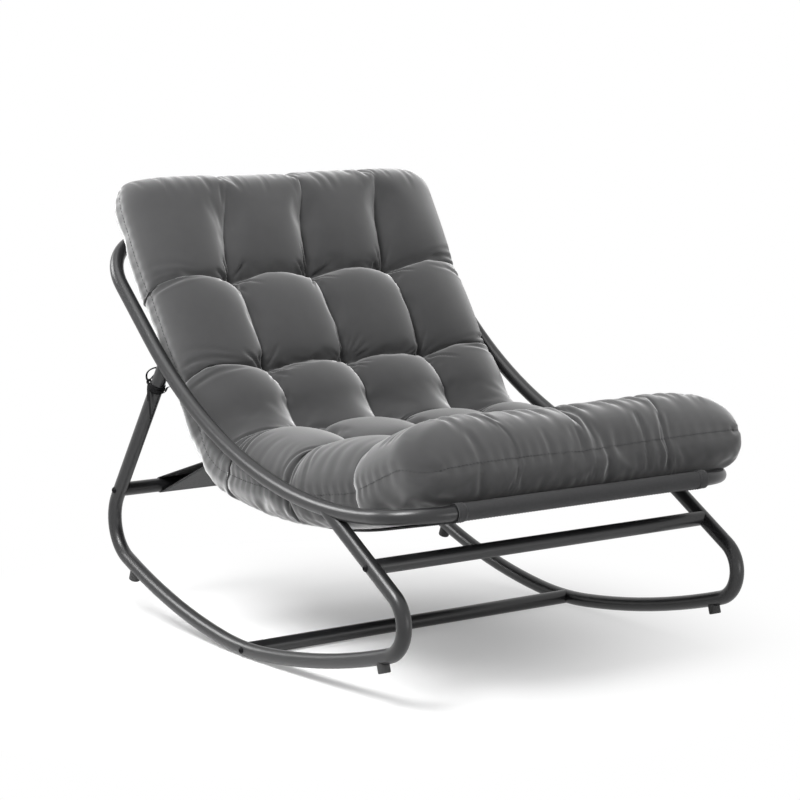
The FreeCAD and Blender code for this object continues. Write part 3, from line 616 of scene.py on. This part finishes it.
groove_depth, groove_more, groove_width = 0.0024, 0.0014, 0.0046
groove = groove_depth + groove_more * smooth((marks["pad_s"] - 0.15) / 0.1)
sink += groove * np.exp(-(from_seam / groove_width) ** 2)
gather_depth, gather_pitch, gather_width = 0.0008, 0.0210, 0.014
gather = np.sin(2 * np.pi * (marks["pad_s"] + marks["pad_x"]) / gather_pitch
                + 2.0 * np.sin(23.0 * (marks["pad_s"] - marks["pad_x"])))
sink += gather_depth * gather * np.exp(-(from_seam / gather_width) ** 2)
cushion.data.vertices.foreach_set("co", (place_of - normal_of * sink[:, None]).ravel())
cushion.data.update()
cushion.data.shade_smooth()
seam_line = place_of[seam_at] - normal_of[seam_at] * (sink[seam_at, None] - 0.0006)
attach(cushion, "root")
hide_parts("cushion", "cushion_seat_filling", "cushion_back_filling")

# Stitches: one row of dark grey thread round the whole pad, sunk into its seam, and rows along the folded
# edges of the sling and across it under each sleeve.


def stitch_maker():
    """Lays stitches end to end along a line, each a short rounded length of thread."""
    tree = bpy.data.node_groups.new("stitch_row", "GeometryNodeTree")
    tree.interface.new_socket("Line", in_out="INPUT", socket_type="NodeSocketGeometry")
    for name in ("Spacing", "Length", "Thread"):
        tree.interface.new_socket(name, in_out="INPUT", socket_type="NodeSocketFloat")
    tree.interface.new_socket("Finish", in_out="INPUT", socket_type="NodeSocketMaterial")
    tree.interface.new_socket("Stitches", in_out="OUTPUT", socket_type="NodeSocketGeometry")
    given, spread, bead, size, copies, real, paint, out = (tree.nodes.new(kind) for kind in (
        "NodeGroupInput", "GeometryNodeCurveToPoints", "GeometryNodeMeshIcoSphere", "ShaderNodeCombineXYZ",
        "GeometryNodeInstanceOnPoints", "GeometryNodeRealizeInstances", "GeometryNodeSetMaterial",
        "NodeGroupOutput"))
    spread.mode = "LENGTH"
    bead.inputs["Radius"].default_value = 0.5
    bead.inputs["Subdivisions"].default_value = 2
    for start, end in ((given.outputs["Line"], spread.inputs["Curve"]),
                       (given.outputs["Spacing"], spread.inputs["Length"]),
                       (given.outputs["Thread"], size.inputs[0]), (given.outputs["Thread"], size.inputs[1]),
                       (given.outputs["Length"], size.inputs[2]),
                       (spread.outputs["Points"], copies.inputs["Points"]),
                       (bead.outputs["Mesh"], copies.inputs["Instance"]),
                       (spread.outputs["Rotation"], copies.inputs["Rotation"]),
                       (size.outputs[0], copies.inputs["Scale"]), (copies.outputs[0], real.inputs[0]),
                       (real.outputs[0], paint.inputs["Geometry"]),
                       (given.outputs["Finish"], paint.inputs["Material"]),
                       (paint.outputs[0], out.inputs[0])):
        tree.links.new(start, end)
    return tree


def sew(name, lines, spacing, length, thread, finish):
    """A piece with rows of stitches along some lines, closed where a line ends at its start."""
    curve = bpy.data.curves.new(name, "CURVE")
    curve.dimensions = "3D"
    for line in lines:
        spline = curve.splines.new("POLY")
        spline.points.add(len(line) - 1)
        spline.points.foreach_set("co", np.concatenate([line, np.ones((len(line), 1))], axis=1).ravel())
        spline.use_cyclic_u = bool(np.linalg.norm(line[0] - line[-1]) < 0.02)
    rows_of_thread = bpy.data.objects.new(name, curve)
    bpy.context.scene.collection.objects.link(rows_of_thread)
    sewing = rows_of_thread.modifiers.new("sewing", "NODES")
    sewing.node_group = stitches
    keys = {item.name: item.identifier for item in stitches.interface.items_tree if item.in_out == "INPUT"}
    for key, value in (("Spacing", spacing), ("Length", length), ("Thread", thread), ("Finish", finish)):
        sewing[keys[key]] = value
    bpy.context.view_layer.update()
    sewn = rows_of_thread.evaluated_get(bpy.context.evaluated_depsgraph_get())
    mesh = bpy.data.meshes.new_from_object(sewn)
    bpy.data.objects.remove(rows_of_thread)
    mesh.shade_smooth()
    piece = bpy.data.objects.new(name, mesh)
    bpy.context.scene.collection.objects.link(piece)
    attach(piece, "root")
    return piece


stitches = stitch_maker()
seam_thread, shader, place = new_finish("dark_grey_thread")
twist = place.noise(1800.0, 2.0)
thread_dark, thread_pale = (0.012, 0.012, 0.013), (0.045, 0.045, 0.047)
wire(shader, Base_Color=twist.between(thread_dark, thread_pale), Roughness=0.6 + twist * 0.2)
seam_s, seam_x = marks["pad_s"][seam_at], marks["pad_x"][seam_at]
# sort the seam's points round the pad: along the front, up one side, along the top and down the other
around = np.arctan2((seam_s - pad_length / 2) / pad_length, seam_x / (2 * half_width))
ring = seam_line[np.argsort(around)]
for _ in range(3):
    ring = (np.roll(ring, 1, axis=0) + 2 * ring + np.roll(ring, -1, axis=0)) / 4
sew("cushion_seam_stitches", [ring], spacing=0.0072, length=0.0052, thread=0.0011, finish=seam_thread)
sew("sling_stitches", sling_rows, spacing=0.0062, length=0.0044, thread=0.0010, finish=seam_thread)

# Ties of the cushion: narrow black tape sewn to its side seams, taken round each rear leg just below the
# rail and knotted in a half bow at the back, with two loose tails.
tie_tape, shader, place = new_finish("black_tape")
tape_dark, tape_pale = (0.003, 0.003, 0.003), (0.012, 0.012, 0.013)
rib = place.noise(900.0, 3.0)
wire(shader, Base_Color=rib.between(tape_dark, tape_pale), Roughness=0.7 + rib * 0.2)
raise_bumps(shader, rib, 0.4, 0.0004)
shader.inputs["Specular IOR Level"].default_value = 0.1
tape_width, tape_thick = 0.0080, 0.0011
leg_radius, leg_slope = 0.0125, math.radians(124)
tie_place = np.array([-0.350, 0.27186, 0.42941])
leg_up = np.array([0.0, math.cos(leg_slope), math.sin(leg_slope)])
leg_rear = np.array([0.0, math.sin(leg_slope), -math.cos(leg_slope)])
leg_out = np.array([-1.0, 0.0, 0.0])
down = np.array([0.0, 0.0, -1.0])


def eased(corners, count):
    """Smooth line near some corner points, from the first to the last."""
    corners = np.asarray(corners, dtype=float)
    padded = np.concatenate([2 * corners[:1] - corners[1:2], corners, 2 * corners[-1:] - corners[-2:-1]])
    t = np.linspace(0, len(corners) - 1 - 1e-9, count)
    k, f = t.astype(int), (t % 1)[:, None]
    p0, p1, p2, p3 = (padded[k + n] for n in range(4))
    inside = (3 * f ** 3 - 6 * f ** 2 + 4) * p1 + (-3 * f ** 3 + 3 * f ** 2 + 3 * f + 1) * p2
    return ((1 - f) ** 3 * p0 + inside + f ** 3 * p3) / 6


def tape(line, faces_to, width):
    """Flat tape with rounded edges along a line, its flat side turned to a direction at each point."""
    ahead = np.gradient(line, axis=0)
    ahead /= np.linalg.norm(ahead, axis=1, keepdims=True)
    flat = faces_to - ahead * np.sum(faces_to * ahead, axis=1, keepdims=True)
    flat /= np.linalg.norm(flat, axis=1, keepdims=True)
    wide = np.cross(ahead, flat)
    section = ((-0.5, 0.0), (-0.42, 0.42), (0.0, 0.5), (0.42, 0.42),
               (0.5, 0.0), (0.42, -0.42), (0.0, -0.5), (-0.42, -0.42))
    rim = np.stack([line + wide * w * width + flat * n * tape_thick for w, n in section], axis=1)
    count, sides = len(line), len(section)
    made = []
    for i in range(0, (count - 1) * sides, sides):
        for j in range(sides):
            k = (j + 1) % sides
            made.append([i + j, i + k, i + sides + k, i + sides + j])
    made += [list(range(sides - 1, -1, -1)), [(count - 1) * sides + j for j in range(sides)]]
    return rim.reshape(-1, 3), made


def steady(direction, line):
    """One direction for all the points of a line."""
    return np.repeat(np.asarray(direction, dtype=float)[None, :], len(line), axis=0)


knot = tie_place + (leg_out * 0.55 + leg_rear * 0.85) * (leg_radius + 0.0045)
knot_radius = 0.0036
lengths = []
# twice round the leg
turn = np.linspace(-0.35, 2 * math.pi * 1.9, 120)
spokes = np.cos(turn)[:, None] * leg_rear + np.sin(turn)[:, None] * leg_out
band = tie_place + spokes * (leg_radius + 0.0008 + 0.0012 * turn[:, None] / turn[-1])
band = band + leg_up * (0.0035 * np.sin(turn * 0.53))[:, None]
lengths.append((band, spokes, tape_width))
# the knot, two rings of tape
for tilt, wide in ((0.0, 0.0050), (1.2, 0.0046)):
    turn = np.linspace(0, 2 * math.pi, 36)
    axis_a = leg_up * math.cos(tilt) + np.cross(leg_rear, leg_out) * math.sin(tilt)
    axis_b = leg_rear * 0.8 + leg_out * 0.6
    spokes = np.cos(turn)[:, None] * axis_a + np.sin(turn)[:, None] * axis_b
    lengths.append((knot + spokes * knot_radius, spokes, wide))
# the half bow, a short tail from the knot and a long one down the side of the leg
bow = eased([knot,
             knot + leg_rear * 0.006 + leg_up * 0.002 + leg_out * 0.003,
             knot + leg_rear * 0.010 + leg_up * 0.012 + leg_out * 0.004,
             knot + leg_rear * 0.006 + leg_up * 0.024 + leg_out * 0.002,
             tie_place + leg_rear * 0.016 + leg_up * 0.033,
             tie_place + leg_rear * 0.0145 + leg_up * 0.020,
             knot + leg_up * 0.003], 60)
lengths.append((bow, steady(leg_rear + 0.2 * leg_out, bow), 0.0042))
tail = eased([knot,
              knot + leg_out * 0.003 + down * 0.006,
              knot + leg_out * 0.0035 + down * 0.018 - leg_rear * 0.001,
              knot + leg_out * 0.002 + down * 0.034], 24)
lengths.append((tail, steady(leg_out * 0.4 + leg_rear, tail), 0.0036))
side = tie_place + leg_out * (leg_radius + 0.0030)
tail = eased([knot + leg_out * 0.002,
              side + leg_rear * 0.003 + down * 0.006,
              side + leg_out * 0.001 + down * 0.024 - leg_rear * 0.001,
              side + leg_out * 0.0005 + down * 0.054 - leg_rear * 0.004], 30)
lengths.append((tail, steady(leg_out, tail), 0.0060))
# from the leg to the pad's side seam
strand = eased([tie_place - leg_rear * (leg_radius + 0.001) + leg_out * 0.004,
                tie_place - leg_rear * 0.026 + leg_up * 0.003 + leg_out * -0.004,
                np.array([-0.342, 0.254, 0.433]),
                np.array([-0.324, 0.246, 0.427])], 30)
lengths.append((strand, steady((0.3, 0.0, 1.0), strand), 0.0048))
for name, node, mirror in (("right_tie", "right_cushion_tie", 1), ("left_tie", "left_cushion_tie", -1)):
    parts = []
    for line, facing, width in lengths:
        rim, made = tape(line, facing, width)
        parts.append((rim * [mirror, 1, 1], [face[::mirror] for face in made]))
    tie = new_piece(name, *join(parts), tie_tape)
    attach(tie, "root")
    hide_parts(node)

# Floor and light: a pale floor that keeps a soft shadow, one broad lamp overhead, a nearer one at the
# upper left, one behind on the left that draws a streak along the tubes, a weak low one in front and an
# even white surround.


def seen_directly(tree):
    """1 for rays from the camera, a gloss or a glass, and 0 for the light that falls on the chair."""
    ray = tree.nodes.new("ShaderNodeLightPath")
    camera, gloss, glass = (Tone(tree, ray.outputs[name])
                            for name in ("Is Camera Ray", "Is Glossy Ray", "Is Transmission Ray"))
    return camera.maths("MAXIMUM", camera.maths("MAXIMUM", camera, gloss), glass)


floor_paint, shader, place = new_finish("pale_floor")
shader.inputs["Roughness"].default_value = 0.9
shader.inputs["Base Color"].default_value = (0.95, 0.95, 0.95, 1)
shader.inputs["Specular IOR Level"].default_value = 0.0
tree = floor_paint.node_tree
# painted light: white is painted over the floor for direct views, partly under the chair, which softens its
# shadow, and wholly away from it, where it fades into white
shadow_middle, shadow_near, shadow_far, shadow_white = (-0.15, 0.0, 0.0), 0.20, 0.86, 0.26
away = place.node("ShaderNodeVectorMath", {"operation": "DISTANCE"}, {0: place, 1: shadow_middle}, 1)
far = away.node("ShaderNodeMapRange", {"interpolation_type": "SMOOTHSTEP"},
                {"Value": away, "From Min": shadow_near, "From Max": shadow_far, "To Min": shadow_white})
white = place.node("ShaderNodeEmission")
mixed = far.node("ShaderNodeMixShader", {}, {0: far * seen_directly(tree), 1: Tone(tree, shader.outputs[0]),
                                             2: white})
tree.links.new(mixed.socket, tree.nodes["Material Output"].inputs["Surface"])
floor_reach, floor_level = 12, -0.0005
floor = new_piece("floor", [(x * floor_reach, y * floor_reach, floor_level)
                            for x, y in ((-1, -1), (1, -1), (1, 1), (-1, 1))], [[0, 1, 2, 3]], floor_paint)

world = bpy.data.worlds.new("studio")
bpy.context.scene.world = world
world.use_nodes = True
tree = world.node_tree
surround = 0.44
tree.nodes["Background"].inputs["Color"].default_value = (1, 1, 1, 1)
strength = surround + seen_directly(tree) * (1 - surround)
tree.links.new(strength.socket, tree.nodes["Background"].inputs["Strength"])


def lamp(name, place, target, size, power):
    data = bpy.data.lights.new(name, "AREA")
    data.shape, data.size, data.energy = "DISK", size, power
    made = bpy.data.objects.new(name, data)
    bpy.context.scene.collection.objects.link(made)
    made.location = place
    made.rotation_euler = (Vector(target) - Vector(place)).to_track_quat("-Z", "Y").to_euler()


lamp("key", (-1.0, 0.7, 5.3), (0, 0, 0.2), 3.2, 50.0)
lamp("side", (-1.35, -0.4, 1.85), (-0.1, 0.1, 0.5), 0.9, 46.0)
lamp("rim", (-1.5, 2.2, 1.8), (0, 0, 0.4), 1.2, 36.0)
lamp("low", (0.5, -2.6, 0.15), (0, 0, 0.35), 1.4, 14.0)

# Camera at the photograph's viewing angle.
azimuth, elevation = math.radians(-35.787), math.radians(8.241)
back = Vector((math.sin(azimuth) * math.cos(elevation), -math.cos(azimuth) * math.cos(elevation),
               math.sin(elevation)))
right = Vector((math.cos(azimuth), math.sin(azimuth), 0.0))
up = back.cross(right)
eye = bpy.data.objects.new("camera", bpy.data.cameras.new("camera"))
bpy.context.scene.collection.objects.link(eye)
eye_place = (-2.5562, -3.5214, 1.0378)
eye.matrix_world = Matrix.Translation(eye_place) @ Matrix((right, up, back)).transposed().to_4x4()
eye.data.sensor_width, eye.data.lens = 36.0, 112.5
bpy.context.scene.camera = eye
bpy.context.scene.view_settings.view_transform = "Standard"
